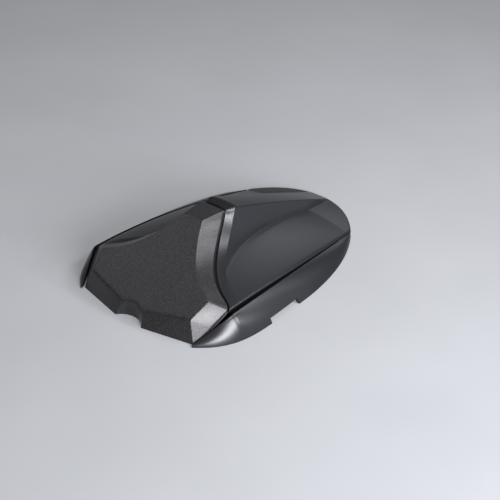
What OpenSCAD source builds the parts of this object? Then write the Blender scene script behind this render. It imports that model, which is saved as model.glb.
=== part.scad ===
// Seat cowl for a motorcycle tail: a painted upper shell with a central hump, a grained front panel,
// two painted side skirts and the black base that carries the latch striker and the rear tongue.
// Stations run rearwards from the point where the front wall's halves would meet, x is the half width.

/* [Overall] */
// Station of the rear edge, counted from where the front wall's two halves would meet
length = 324; // [300:1:350]
// Width across the lower rim at its widest
width = 228; // [210:1:246]
// Station of the widest point
widest_at = 139; // [130:1:150]
// Fullness of the rim's rear half, 2 being an ellipse
rim_power = 2.1; // [2:0.05:2.3]
// Height of the front panel's flat top over the rim
height = 76; // [72:0.5:80]
// Wall of the painted mouldings
wall = 3; // [2.5:0.1:3.5]
// Gap where one moulding tucks under another
fit_gap = 0.35; // [0.25:0.05:0.5]

/* [Upper shell] */
// Half width of the flat crest at its front
crest_front_x = 17.7; // [15:0.1:20]
// Half width of the crest at its rear
crest_rear_x = 12; // [9:0.1:14]
// Station where the crest starts behind the front bevel
crest_at = 150; // [146:1:154]
// Height of the panel's flat top over the crest's front end
crest_drop = 3; // [1:0.5:5]
// Outward bow of the crest line between its ends
crest_bow = 1.6; // [0:0.1:3]
// Rise of the crest's middle over its edges
crest_crown = 1.2; // [0:0.1:2]
// Sharpness of the hump's hollow side wall
hump_power = 1.8; // [1.5:0.1:2.4]
// Half width of the hump's foot far forward
foot_front_x = 60; // [54:1:64]
// Half width of the hump's foot at the rear
foot_rear_x = 17; // [16:0.5:20]
// Length over which the foot closes in
foot_fade = 60; // [50:1:70]
// Rise of the shoulders from their edge to the middle
shoulder_rise = 16; // [12:0.5:19]
// Half width of the shell's front corners
wing_x = 91.3; // [89:0.1:93]
// Station of the shell's front corners
wing_at = 54.4; // [52:0.1:57]
// Height of the shell's front corners
wing_z = 28; // [26:0.5:30]
// Distance from the rear edge at which the shoulder's edge runs out
shoulder_end_in = 46; // [42:1:50]
// Half width of the shoulder's edge there
shoulder_end_x = 75; // [72:0.5:78]
// Station of the shell's front edge across the ridge
ridge_edge_at = 140; // [138:0.5:142]
// Width of the bevel along the shell's front edge
bevel_w = 10; // [6:0.5:12]
// Depth of that bevel at the ridge
bevel_drop = 3.4; // [1.5:0.1:4]
// Play between the sunk border and the panel on it
border_play = 0.8; // [0.5:0.1:1.2]
// Hollowness of that bevel, 1 being flat
bevel_power = 1; // [1:0.05:1.5]
// How far the sunk border runs on under the panel
border_tuck = 3; // [2:0.5:4]

/* [Front panel] */
// Wall of the front panel
panel_wall = 2.6; // [2.2:0.1:3]
// Slope of the face, as rise over run
face_slope = 0.64; // [0.6:0.01:0.68]
// Half width of the front wall's lower corners
corner_x = 76.5; // [74:0.5:79]
// Station of the front wall's lower corners
corner_at = 17; // [15:0.5:19]
// Half width of the crease between the front wall and the face
crease_x = 68.4; // [66:0.2:70]
// Station of the crease at its outer ends
crease_at = 22.2; // [20:0.2:24]
// Station of the crease on the middle line
crease_nose_at = 8; // [6:0.5:10]
// Half width of the face's wing corners
face_wing_x = 74; // [72:0.5:76]
// Station of the face's wing corners
face_wing_at = 43.9; // [42:0.5:46]
// Half width of the face's upper corners
face_top_x = 12.2; // [10:0.2:14]
// Station of the face's upper corners
face_top_at = 104.7; // [102:0.5:107]
// Half width of the flat top's rear corners
top_rear_x = 15.7; // [14.5:0.1:16.5]
// Station of the flat top's rear edge
top_rear_at = 135; // [133:0.5:136]
// Fall of the flat top towards its rear edge
top_fall = 0.5; // [0:0.1:1]
// Width of the sunk border between the panel's side bevel and the shell
border_w = 6.5; // [4:0.5:8]
// Reach of the lip that turns down along the panel's lower side edges
lip_w = 2; // [1:0.1:2.2]
// Drop of that lip
lip_drop = 1.6; // [1:0.1:2]
// Radius of the lock notch in the front wall
notch_r = 22; // [20:0.5:24]
// Deepest station of the lock notch
notch_at = 13.2; // [12:0.2:14]

/* [Side skirts] */
// Half width of the skirt's front tip
tip_x = 79; // [77:0.5:81]
// Station of the skirt's front tip
tip_at = 13; // [12:0.5:14]
// Height of the skirt at its tips
tip_z = 2.2; // [1.8:0.1:3]
// Wall at the tips
tip_wall = 0.5; // [0.4:0.1:0.6]
// Length over which the wall grows to its full thickness
tip_fade = 28; // [20:1:36]
// Groove between shell and skirt at its front
groove_front = 5; // [3.5:0.1:6]
// Groove between shell and skirt at its rear
groove_rear = 1; // [0.8:0.05:1.4]
// Depth of the groove at its front
groove_depth = 5; // [3.5:0.1:6]
// Depth of the groove at its rear
groove_rear_depth = 1.6; // [1:0.1:2]
// Step down from the shell's edge to the skirt's edge
groove_step = 2; // [1:0.1:3]
// Outward bow of the skirt between its edges
skirt_bow = 2.4; // [0:0.1:4]
// Width of the ledge that runs on under the shell
ledge_w = 9; // [6:0.5:11]
// Length over which that ledge runs out
ledge_fade = 30; // [20:1:40]
// Distance from the rear edge at which that ledge has run out
ledge_end_in = 119; // [117:1:123]
// Distance from the rear edge at which the skirt ends
skirt_end_in = 45; // [44:1:48]
// Station where the notch in the skirt's lower edge starts
lift_notch_at = 94; // [88:1:100]
// Length of that notch
lift_notch_l = 44; // [36:1:50]
// Height of that notch
lift_notch_h = 5.5; // [4.5:0.5:7]

/* [Base plate] */
// Height of the base plate's underside over the rim
deck_z = 6.5; // [6:0.5:7.5]
// Thickness of the base plate
deck_t = 2.5; // [2:0.1:3]
// Run of the plate's cut front corners, half width per length
deck_corner_run = 0.95; // [0.7:0.05:0.95]
// Distance of the rim rib inside the plate's edge
rib_inset = 3; // [2:0.5:4]
// Station of the first cross rib
cross_rib_at = 106; // [104:1:107]
// Clearance of the ribs round screw heads and dampers
rib_clear = 1; // [0.6:0.1:1.5]
// Thickness of its ribs
rib_t = 2; // [1.6:0.1:2.5]
// Depth of the ribs under the plate
rib_h = 5; // [4:0.5:5.5]
// Distance between neighbouring long ribs, and cross ribs
rib_pitch = 34; // [28:1:40]
// Gap between the base plate's edge and the mouldings
deck_gap = 1; // [0.6:0.1:1.6]
// Front station of the base plate
deck_front_at = 24; // [23:0.5:27]
// Half width of the base plate at its front
deck_front_x = 72; // [68:1:72]
// Distance of the base plate's rear end from the rear edge
deck_rear_in = 68; // [66:1:74]
// Distance from the rear edge at which the plate starts to round off
deck_round_in = 149; // [147:1:152]
// Fullness of the plate's rounded rear end, 2 being an ellipse
deck_round_power = 1.6; // [1.5:0.05:1.7]
// Middle station of the striker pocket
pocket_at = 72; // [70:1:74]
// Length of the striker pocket
pocket_l = 52; // [48:1:54]
// Width of the striker pocket
pocket_w = 84; // [78:1:88]
// Clearance between the pocket's roof and the panel's face over it
pocket_gap = 1.2; // [0.8:0.1:2]

/* [Latch striker] */
// Diameter of the striker rod
rod_d = 8; // [7:0.5:9]
// Distance of the middle of each loop leg inside the pocket's side wall
loop_in = 25; // [25:0.5:28]
// Height of the middle of the loop's bar over the rim
loop_z = 6; // [5:0.5:7]
// Bend radius of the rod at its middle
loop_r = 8; // [7:0.5:10]
// Leg of the weld fillet round each leg of the loop
weld = 2; // [1:0.5:2.5]
// Thickness of the bracket
bracket_t = 2.5; // [2:0.1:3]
// Length of the bracket
bracket_l = 30; // [28:1:34]
// Clearance at either side of the bracket in the pocket
bracket_gap = 3; // [2:0.5:5]
// Depth of the bracket's turned-down edges
bracket_lip = 6; // [4:0.5:8]
// Distance of each bolt from the bracket's end
bolt_in = 8; // [7.5:0.1:8.5]

/* [Rear tongue] */
// Width of the tongue
tongue_w = 34; // [28:1:40]
// Thickness of the tongue
tongue_t = 2.5; // [2:0.1:3]
// Distance from the rear edge at which the tongue starts
tongue_in = 106; // [103:1:110]
// Distance from the rear edge at which the tongue ends
tongue_end_in = 44; // [43:1:50]
// Gap between the plate's rear edge and the step of the tongue
tongue_step_gap = 3; // [2:0.5:4]
// Run of that step per drop
tongue_step_run = 3; // [2:0.5:4]
// Drop of the tongue's free end below its seat
tongue_drop = 2; // [1:0.5:3]
// Cut at the corners of the free end
tongue_corner = 4; // [3:0.5:6]
// Distance of the tongue's two screws from the rear edge
tongue_screw_in = 93; // [90:1:96]
// Distance between the two tongue screws
tongue_screw_gap = 20; // [16:1:22]

/* [Fixings and pads] */
// Shank diameter of the thread-forming screws
screw_d = 4; // [3.5:0.1:4.5]
// Room round a screw's shank in its boss
screw_play = 0.1; // [0.05:0.05:0.2]
// Room round a screw or bolt in the plate it passes
hole_play = 0.6; // [0.4:0.1:1]
// Head diameter of the screws
screw_head_d = 9; // [8:0.5:10]
// Head height of the screws
screw_head_h = 2.6; // [2:0.1:3]
// Length of the screws under the head
screw_l = 9; // [8:0.5:10]
// Width of the slots of the cross recess
recess_w = 1; // [0.8:0.1:1.2]
// Length of the slots of the cross recess
recess_l = 4.4; // [4:0.2:5]
// Depth of the cross recess
recess_deep = 1.5; // [1.2:0.1:1.6]
// Length of the skirts' shorter screws under the head
skirt_screw_l = 6.4; // [6:0.1:6.6]
// Depth of the bores in the skirts' bosses
skirt_bore_l = 4.4; // [4.2:0.1:4.6]
// Diameter of the moulded screw bosses
boss_d = 9; // [8:0.2:10]
// Depth of the bore in a boss
boss_bore_l = 7.5; // [7:0.5:9]
// Half width of the two pairs of shell bosses
shell_boss_x = 56; // [54:1:60]
// Station of the front pair of shell bosses
shell_boss_front_at = 92; // [90:1:96]
// Share of the way from the front dampers to the plate's rear end at which the rear shell bosses stand
shell_boss_share = 0.267; // [0.24:0.003:0.3]
// Half width of the panel bosses
panel_boss_x = 58; // [54:1:60]
// Station of the panel bosses
panel_boss_at = 34; // [32:1:36]
// Station of the front boss of each skirt
skirt_boss_front_at = 84; // [80:1:88]
// Distance of each skirt's rear boss from the rear edge
skirt_boss_rear_in = 152; // [150:1:156]
// Distance of the skirt bosses inside the shoulder's edge
skirt_boss_in = 5; // [4.5:0.5:6]
// Diameter of the bracket bolts
bolt_d = 6; // [5:0.5:6]
// Width across the flats of the bolt heads and nuts
bolt_flats = 10; // [9:0.5:10]
// Height of the bolt heads and nuts
bolt_head_h = 4.5; // [4:0.5:5]
// Diameter of the flange under each bolt head and nut
bolt_flange_d = 13; // [12:0.5:14]
// Thickness of that flange
bolt_flange_t = 1.2; // [1:0.1:1.5]
// Diameter of the rubber dampers
damper_d = 24; // [20:1:26]
// Diameter of the neck held in the base plate
damper_neck_d = 12; // [10:0.5:14]
// Diameter of the lip above the plate
damper_lip_d = 15; // [14:0.5:17]
// Height of the lip above the plate
damper_lip_h = 2.4; // [2:0.1:3]
// Room round the neck in its hole
damper_play = 0.2; // [0.1:0.05:0.4]
// Half width of the dampers
damper_x = 51; // [48:1:53]
// Station of the front dampers
damper_front_at = 125; // [123:1:126]
// Share of that way at which the rear dampers stand
damper_share = 0.519; // [0.501:0.003:0.54]
// Height left under the dampers and the edge strips
rest_gap = 0.3; // [0.2:0.1:0.5]
// Width of the soft strips inside the lower rim
strip_w = 4; // [3:0.5:5]
// Height of the soft strips
strip_h = 3.5; // [3:0.5:4]
// Station where the soft strips start
strip_at = 142; // [140:1:150]
// Share of the run from the widest point to the rear edge at which the soft strips end
strip_share = 0.524; // [0.46:0.004:0.54]

/* [Hidden] */
$fn = 40;

half_w = width / 2;
overlap = 0.5;
crest_z = height - crest_drop;
shoulder_end_at = length - shoulder_end_in;
ledge_end_at = length - ledge_end_in;
skirt_end_at = length - skirt_end_in;
deck_rear_at = length - deck_rear_in;
deck_round_at = length - deck_round_in;
tongue_at = length - tongue_in;
tongue_end_at = length - tongue_end_in;
tongue_screw_at = length - tongue_screw_in;
skirt_boss_rear_at = length - skirt_boss_rear_in;
shell_boss_rear_at = lerp(damper_front_at, deck_rear_at, shell_boss_share);
damper_rear_at = lerp(damper_front_at, deck_rear_at, damper_share);
strip_end_at = lerp(widest_at, length, strip_share);
// The pocket's roof lies under the panel's face at the pocket's front wall
pocket_front_at = pocket_at - pocket_l / 2 - deck_t;
pocket_z = face_z(pocket_front_at) - panel_wall * norm([1, face_slope]) - pocket_gap - deck_t;
bracket_w = pocket_w - 2 * bracket_gap;
loop_w = pocket_w - 2 * loop_in;
bracket_bolts = bracket_w - 2 * bolt_in;

// Shares of the half width at which the panel's columns stand, closer together round the lock notch
face_cols = [-1, -0.86, -0.7, -0.52, -0.38, -0.27, -0.235, -0.2, -0.155, -0.1, -0.05, 0, 0.05, 0.1, 0.155, 0.2, 0.235, 0.27, 0.38, 0.52, 0.7, 0.86, 1];
deck_top = deck_z + deck_t;

// Powers of the rim's front half, and of the shoulder's edge as it closes in and falls
rim_front_power = 5;
shoulder_in_power = 2.2;
shoulder_fall_power = 1.7;
// Power with which the shoulders' rise dies out, and where behind the wings the hump's foot starts to close
arch_power = 4;
foot_behind = 33;
// The shell's front edge and the face's side edge, each a steep curve and a gentle one in shares
sweep_share = 0.7;
sweep_power = 2.5;
sweep_end_power = 0.6;
face_sweep_share = 0.6;
face_sweep_power = 2.9;
// How fast the bevel fades out towards the wings, and how the sunk border narrows there
bevel_fade = 2.2;
border_fade = 0.7;
border_fade_power = 3;
// Blending length of the skirt's ledge behind the wing corner
ledge_blend = 12;
// Halvings in the search for the front edge, and the power that draws the rows together at the rear
meet_steps = 16;
row_power = 1.25;

// Basic curves

function clamp01(t) = min(1, max(0, t));
function lerp(a, b, t) = a + (b - a) * t;
function ease(t) = let (c = clamp01(t)) c * c * (3 - 2 * c);
function unit(v) = v / max(norm(v), 0.000001);
function mirror_x(p) = [-p.x, p.y, p.z];
// Station to the frame's y. The middle lies halfway between the notched nose and the rear edge, which
// is cut square just before the skin would close
rear_trim = 0.22;
rear_at = length - rear_trim;
nose_at = min([for (f = face_cols) foot_line(f * corner_x)]);
middle_at = (nose_at + rear_at) / 2;
function y_at(s) = s - middle_at;

// Plan of the lower rim and of the shoulder's edge

function rim_front_x(s) = half_w - (half_w - tip_x) * pow(clamp01((widest_at - s) / (widest_at - tip_at)), rim_front_power);
function rim_rear_x(s) = half_w * pow(max(0, 1 - pow((s - widest_at) / (length - widest_at), rim_power)), 1 / rim_power);
function rim_x(s) = s < widest_at ? rim_front_x(s) : rim_rear_x(s);

function along(s) = clamp01((s - wing_at) / (shoulder_end_at - wing_at));
function shoulder_x(s) = lerp(wing_x, shoulder_end_x, pow(along(s), shoulder_in_power));
function shoulder_z(s) = lerp(wing_z, wall + 0.1, pow(along(s), shoulder_fall_power));
function edge_x(s) = min(shoulder_x(s), rim_x(s));
function edge_z(s) = shoulder_z(s);

// Height of the painted skin over the whole shell

function arch(s) = shoulder_rise * (1 - pow(clamp01((s - wing_at) / (length - wing_at)), arch_power));
function shoulder_skin(x, s) = edge_z(s) + arch(s) * (1 - pow(abs(x) / max(edge_x(s), 1), 2));
function crest_t(s) = (s - crest_at) / (length - crest_at);
function crest_height(s) = crest_z - (crest_z - wall) * crest_t(s) + crest_bow * sin(180 * clamp01(crest_t(s)));
function crest_half(s) = lerp(crest_front_x, crest_rear_x, sqrt(clamp01(crest_t(s))));
function foot_half(s) = foot_rear_x + (foot_front_x - foot_rear_x) * exp((wing_at + foot_behind - s) / foot_fade);
function hump_share(x, s) =
    let (t = (abs(x) - crest_half(s)) / (foot_half(s) - crest_half(s)))
    t <= 0 ? 1 : t >= 1 ? 0 : pow(1 - t, hump_power);
function crown(x, s) = crest_crown * (1 - pow(min(abs(x) / crest_half(s), 1), 2)) * clamp01(1 - crest_t(s));
function skin_z(x, s) =
    let (low = shoulder_skin(x, s), top = max(crest_height(s), low))
    lerp(low, top, hump_share(x, s)) + crown(x, s);

// Front edge of the shell: straight over the ridge, then sweeping down to the wing corners

function sweep(t) = lerp(pow(1 - t, sweep_end_power), pow(1 - t, sweep_power), sweep_share);
function edge_q(x) = clamp01((abs(x) - crest_front_x) / (wing_x - crest_front_x));
function front_at(x) = lerp(wing_at, ridge_edge_at, sweep(edge_q(x)));

// Skin with the bevel that dips towards the front edge and fades out at the wings
function bevel_here(x) = bevel_drop * ease((1 - edge_q(x)) * bevel_fade);
function shell_z(x, s) = skin_z(x, s) - bevel_here(x) * pow(1 - clamp01((s - front_at(x)) / bevel_w), bevel_power);

// Columns of the shell follow the crest and the hump's foot
ridge_u = 0.2;
foot_u = 0.6;
function column_x(u, s) =
    let (a = abs(u), crest = min(crest_half(s), edge_x(s) * 0.3), foot = min(foot_half(s), edge_x(s) * 0.8))
    sign(u) * (a < ridge_u ? lerp(0, crest, a / ridge_u)
        : a < foot_u ? lerp(crest, foot, (a - ridge_u) / (foot_u - ridge_u))
        : lerp(foot, edge_x(s), (a - foot_u) / (1 - foot_u)));
// Station at which a column lies a given way behind the front edge
function meet_front(u, behind, low, high, steps) =
    let (mid = (low + high) / 2)
    steps == 0 ? mid
    : front_at(column_x(u, mid)) + behind > mid ? meet_front(u, behind, mid, high, steps - 1)
    : meet_front(u, behind, low, mid, steps - 1);
function behind_front(u, behind) =
    abs(u) <= ridge_u ? ridge_edge_at + behind
    : meet_front(u, behind, wing_at - 2, ridge_edge_at + bevel_w + 2, meet_steps);
function shell_at(u, s) =
    let (x = column_x(u, s))
    [x, y_at(s), shell_z(x, s)];
function bevel_point(u, t) = shell_at(u, behind_front(u, t * bevel_w));
function skin_point(u, v) = shell_at(u, lerp(behind_front(u, bevel_w), rear_at, 1 - pow(1 - v, row_power)));

// Sheets: a grid of points, its offset and the solid between them. Rows run rearwards and columns
// towards +x, so that the normal of a roof points up

function grid_normal(g, i, j) =
    let (
        n = len(g) - 1, m = len(g[0]) - 1,
        rows = g[min(i + 1, n)][j] - g[max(i - 1, 0)][j],
        cols = g[i][min(j + 1, m)] - g[i][max(j - 1, 0)]
    )
    unit(cross(cols, rows));

module sheet(outer, inner) {
    n = len(outer);
    m = len(outer[0]);
    count = n * m;
    points = concat([for (row = outer) each row], [for (row = inner) each row]);
    cells = [for (i = [0 : n - 2], j = [0 : m - 2]) [i * m + j, i * m + j + 1, (i + 1) * m + j + 1, (i + 1) * m + j]];
    rim = concat(
        [for (j = [0 : m - 1]) j],
        [for (i = [1 : n - 1]) i * m + m - 1],
        [for (j = [m - 2 : -1 : 0]) (n - 1) * m + j],
        [for (i = [n - 2 : -1 : 1]) i * m]
    );
    faces = concat(
        [for (c = cells) each [[c[2], c[1], c[0]], [c[3], c[2], c[0]]]],
        [for (c = cells) each [
            [c[0] + count, c[1] + count, c[2] + count],
            [c[0] + count, c[2] + count, c[3] + count]
        ]],
        [for (k = [0 : len(rim) - 1])
            let (a = rim[k], b = rim[(k + 1) % len(rim)])
            each [[a, b, b + count], [a, b + count, a + count]]]
    );
    polyhedron(points = points, faces = faces, convexity = 8);
}

// Moulded boss that stands on the base plate's upper face, and its bore for a screw from below
module boss(x, s, top_z) {
    translate([x, y_at(s), deck_top]) cylinder(d = boss_d, h = top_z - deck_top);
}
module boss_bore(x, s, l) {
    translate([x, y_at(s), deck_top - 1]) cylinder(d = screw_d + screw_play, h = l + 1);
}

// Outlines shared by the panel and the shell. q runs from 0 at the ridge to 1 at the wing corner

function face_z(s) = height + face_slope * (s - face_top_at);
function shell_edge(q) =
    let (x = lerp(crest_front_x, wing_x, q), s = front_at(x))
    [x, y_at(s), shell_z(x, s)];
function face_sweep(q) = lerp(1 - q, pow(1 - q, face_sweep_power), face_sweep_share);
function face_edge(q) =
    let (s = lerp(face_wing_at, face_top_at, face_sweep(q)))
    [lerp(face_top_x, face_wing_x, q), y_at(s), face_z(s)];
function border_here(q) = border_w * (1 - border_fade * pow(q, border_fade_power));
function panel_edge(q) =
    let (outside = shell_edge(q), inside = face_edge(q))
    outside + border_here(q) * unit(inside - outside);
function border_normal(q) =
    let (a = max(0, q - 0.02), b = min(1, q + 0.02))
    unit(cross(shell_edge(b) - shell_edge(a), shell_edge(q) - face_edge(q)));
top_rear_z = height - top_fall;
top_corner = [top_rear_x + 0.9, y_at(top_rear_at), top_rear_z - 0.6];

// Upper shell

shell_cols = [for (k = [0 : 30]) (k - 15) / 15];
bevel_rows = [0, 0.5, 1];
shell_rows = [0.02, 0.05, 0.08, 0.12, 0.17, 0.23, 0.3, 0.37, 0.44, 0.51, 0.58, 0.65, 0.72, 0.78, 0.84, 0.89, 0.93, 0.96, 0.985, 1];

// Sunk border: three points in front of the shell's edge, on which the panel's edge rests
function border_points(u) =
    let (
        at = bevel_point(u, 0),
        q = edge_q(at.x),
        on_ridge = abs(u) < ridge_u,
        side = u < 0 ? -1 : 1,
        share = at.x / crest_front_x,
        rest_side = panel_edge(q),
        rest = on_ridge ? [share * top_corner.x, top_corner.y, top_rear_z] : [side * rest_side.x, rest_side.y, rest_side.z],
        away_side = face_edge(q),
        away = on_ridge ? [share * face_top_x, y_at(face_top_at), height] : [side * away_side.x, away_side.y, away_side.z],
        up_side = border_normal(q),
        tilt = on_ridge ? pow(abs(u) / ridge_u, 6) : 1,
        up = unit([side * up_side.x * tilt, up_side.y * tilt, lerp(1, up_side.z, tilt)]),
        deep = (panel_wall + border_play * (1 + pow(q, 6))) * up
    )
    [rest + border_tuck * unit(away - rest) - deep, rest - deep, lerp(at, rest, 0.12) - deep];

// The rear edge and the shoulder's edge are cut square, the rest is offset along the skin's normal
function shell_inner(g, i, j) =
    let (n = len(g) - 1, m = len(g[0]) - 1, square = i == n || ((j == 0 || j == m) && i > 2))
    square ? [g[i][j].x, g[i][j].y, max(0, g[i][j].z - wall)] : g[i][j] - wall * grid_normal(g, i, j);

// Two bosses under each shoulder
shell_bosses = [for (side = [-1, 1], s = [shell_boss_front_at, shell_boss_rear_at]) [side * shell_boss_x, s]];

module upper_shell() {
    border = [for (u = shell_cols) border_points(u)];
    outer = concat(
        [for (k = [0 : 2]) [for (b = border) b[k]]],
        [for (t = bevel_rows) [for (u = shell_cols) bevel_point(u, t)]],
        [for (v = shell_rows) [for (u = shell_cols) skin_point(u, v)]]
    );
    inner = [for (i = [0 : len(outer) - 1]) [for (j = [0 : len(outer[0]) - 1]) shell_inner(outer, i, j)]];
    color([0.27, 0.3, 0.35]) difference() {
        union() {
            sheet(outer, inner);
            for (b = shell_bosses) boss(b.x, b.y, shell_z(b.x, b.y) - wall * 0.55);
        }
        for (b = shell_bosses) boss_bore(b.x, b.y, boss_bore_l);
    }
}

// Front panel

// Station of the front wall's foot and of its crease, with the round notch for the lock
function notch_line(x) = notch_at - notch_r + sqrt(max(0, pow(notch_r, 2) - x * x));
function foot_line(x) = max(corner_at * abs(x) / corner_x, notch_line(x));
function crease_line(x) = max(lerp(crease_nose_at, crease_at, abs(x) / crease_x), notch_line(x) + 0.8);

face_rows = [1, 0.93, 0.85, 0.76, 0.67, 0.58, 0.49, 0.41, 0.33, 0.26, 0.2, 0.14, 0.09, 0.045, 0];
top_rows = [0.33, 0.67, 1];

corner_low = [corner_x, y_at(corner_at), 0];

// Lip beyond the panel's lower side edge: it grows from the corner, is full over most of the edge and
// dies out at the shell, along which only a hair of it is left
lip_least = 0.15;
lip_grow = 0.3;
lip_close = 0.12;
function lip_share(out) = ease(out / lip_grow) * ease((1 - out) / lip_close);
edge_run = panel_edge(1) - corner_low;
lip_way = unit([edge_run.y, -edge_run.x, 0]);
function lip_point(p, out) =
    p + lerp(lip_least, lip_w, lip_share(out)) * lip_way - [0, 0, min(lip_drop * lip_share(out), p.z / 2)];

// A row of the panel: the face between its two edges, with a side point and a lip point beyond each
function panel_row(face, beyond, lip) = concat([mirror_x(lip), mirror_x(beyond)], face, [beyond, lip]);
function side_row(face, out) =
    let (beyond = lerp(corner_low, panel_edge(1), out))
    panel_row(face, beyond, lip_point(beyond, out));
function wall_point(f, t) =
    let (
        low = [f * corner_x, foot_line(f * corner_x), 0],
        top_s = crease_line(f * crease_x),
        high = [f * crease_x, top_s, face_z(top_s)],
        p = lerp(low, high, t)
    )
    [p.x, y_at(p.y), p.z];
function wall_row(t, out) = side_row([for (f = face_cols) wall_point(f, t)], out);
function rise_row(t) =
    side_row(
        [for (f = face_cols)
            let (
                s = lerp(crease_line(f * crease_x), face_wing_at, t),
                x = f * lerp(crease_x, face_wing_x, t)
            )
            [x, y_at(s), face_z(s)]],
        lerp(0.5, 1, t)
    );
function face_row(q) =
    let (e = face_edge(q), p = panel_edge(q))
    panel_row([for (f = face_cols) [f * e.x, e.y, e.z]], p, p + lip_least * unit(p - e));
function top_row(t) =
    let (
        x = lerp(face_top_x, top_rear_x, t),
        y = lerp(y_at(face_top_at), y_at(top_rear_at), t),
        p = lerp(panel_edge(0), top_corner, t)
    )
    panel_row([for (f = face_cols) [f * x, y, height - top_fall * t]], p, p + lip_least * [1, 0, 0]);

module front_panel() {
    outer = concat(
        [wall_row(0, 0.06), wall_row(0.45, 0.24), wall_row(0.92, 0.46), rise_row(0.1), rise_row(0.45), rise_row(0.85)],
        [for (q = face_rows) face_row(q)],
        [for (t = top_rows) top_row(t)]
    );
    inner = [for (i = [0 : len(outer) - 1]) [for (j = [0 : len(outer[0]) - 1])
        let (n = grid_normal(outer, i, j), flat = unit([n.x, n.y, 0]))
        i == 0 ? outer[i][j] - panel_wall * flat : outer[i][j] - panel_wall * n]];
    color([0.1, 0.1, 0.105]) difference() {
        union() {
            sheet(outer, inner);
            difference() {
                for (b = panel_bosses) boss(b.x, b.y, face_z(b.y));
                // The bosses end inside the face's wall
                translate([-half_w, y_at(face_top_at), height]) rotate([atan(face_slope), 0, 0])
                    translate([0, -length, -panel_wall / 2]) cube([width, length, length]);
            }
        }
        for (b = panel_bosses) boss_bore(b.x, b.y, boss_bore_l);
    }
}

// Side skirts. Each runs from a sharp front tip to a sharp rear end

skirt_rows = [0, 0.015, 0.035, 0.06, 0.09, 0.12, 0.15, 0.18, 0.22, 0.27, 0.33, 0.39, 0.45, 0.51, 0.57, 0.63, 0.69, 0.75, 0.8, 0.85, 0.89, 0.93, 0.96, 0.98, 1];
// Direction of the bow, and the skirt's slant from which it is full
bow_out = 0.75;
bow_up = 0.65;
bow_full_w = 12;
skirt_cols = [0, 0.06, 0.2, 0.4, 0.6, 0.8, 0.93, 1];
function skirt_at(v) = lerp(tip_at, skirt_end_at, v);

function groove_here(s) = lerp(groove_front, groove_rear, along(s));
function skirt_top_behind(s) = [shoulder_x(s) + groove_here(s), s, max(tip_z, shoulder_z(s) - groove_step * (1 - along(s)))];
skirt_knee_at = wing_at - 2;
function skirt_top(s) =
    let (knee = skirt_top_behind(skirt_knee_at), t = (s - tip_at) / (skirt_knee_at - tip_at))
    s < skirt_knee_at ? [lerp(tip_x - 1, knee.x, t), s, lerp(tip_z, knee.z, pow(t, 1.1))] : skirt_top_behind(s);

// Half width at which the skirt's ledge starts, clear of the panel in front and under the shell behind
function ledge_x(s) =
    let (
        t = (s - corner_at) / (wing_at - corner_at),
        beside_panel = lerp(corner_x, wing_x, t) + lip_w * lip_share(t) / lip_way.x + 2 * fit_gap,
        under_shell = lerp(shoulder_x(s) - ledge_w, shoulder_x(s) + groove_rear / 3, ease((s - ledge_end_at) / ledge_fade + 1))
    )
    s < wing_at ? max(corner_x + 2 * fit_gap, beside_panel)
        : lerp(wing_x + 2 * fit_gap, under_shell, ease((s - wing_at) / ledge_blend));
function ledge_z(x, s) = shell_z(min(x, edge_x(s)), s) - wall * 1.1 - fit_gap;
function ledge_depth(s) = min(lerp(groove_depth, groove_rear_depth, along(s)), skirt_top(s).z * 0.4);
// The ledge lies at the groove's foot, and never closer to the shell's underside than the play
function shelf_z(x, s) =
    let (shelf = skirt_top(s).z - ledge_depth(s))
    x < edge_x(s) ? min(shelf, ledge_z(x, s)) : shelf;

function skirt_row(s) =
    let (
        top = skirt_top(s),
        low_x = max(rim_x(s), top.x + 0.8),
        in_x = min(ledge_x(s), top.x - 0.6),
        mid_x = lerp(in_x, top.x, 0.5)
    )
    concat(
        [
            [in_x, y_at(s), shelf_z(in_x, s)],
            [mid_x, y_at(s), shelf_z(mid_x, s)],
            [top.x - 0.2, y_at(s), top.z - 0.7 * ledge_depth(s)]
        ],
        [for (w = skirt_cols)
            let (bow = skirt_bow * 4 * w * (1 - w) * clamp01((low_x - top.x) / bow_full_w))
            [lerp(top.x, low_x, w) + bow * bow_out, y_at(s), top.z * (1 - w) + bow * bow_up]]
    );

// The wall thins out towards the two tips
function skirt_wall(s) = lerp(tip_wall, wall, ease(min(s - tip_at, skirt_end_at - s) / tip_fade));
function skirt_inner(g, i, j) =
    let (
        p = g[i][j],
        n = grid_normal(g, i, j),
        t = skirt_wall(skirt_at(skirt_rows[i])),
        flat = norm([n.x, n.y]),
        m = len(g[0]) - 1
    )
    j == m ? [p.x - t / max(flat, 0.6), p.y, 0]
        : let (q = p - t * n) [q.x, p.y, max(q.z, 0.1 + 0.05 * (m - j))];

skirt_bosses = [for (s = [skirt_boss_front_at, skirt_boss_rear_at]) [shoulder_x(s) - skirt_boss_in, s]];

module side_skirt() {
    outer = [for (v = skirt_rows) skirt_row(skirt_at(v))];
    inner = [for (i = [0 : len(outer) - 1]) [for (j = [0 : len(outer[0]) - 1]) skirt_inner(outer, i, j)]];
    difference() {
        union() {
            sheet(outer, inner);
            for (b = skirt_bosses) boss(b.x, b.y, shelf_z(b.x, b.y) - wall * 0.3);
        }
        for (b = skirt_bosses) boss_bore(b.x, b.y, skirt_bore_l);
        translate([half_w / 2, y_at(lift_notch_at), -1]) cube([half_w, lift_notch_l, lift_notch_h + 1]);
    }
}

module left_side_skirt() {
    color([0.3, 0.33, 0.38]) side_skirt();
}

module right_side_skirt() {
    color([0.3, 0.33, 0.38]) mirror([1, 0, 0]) side_skirt();
}

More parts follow.
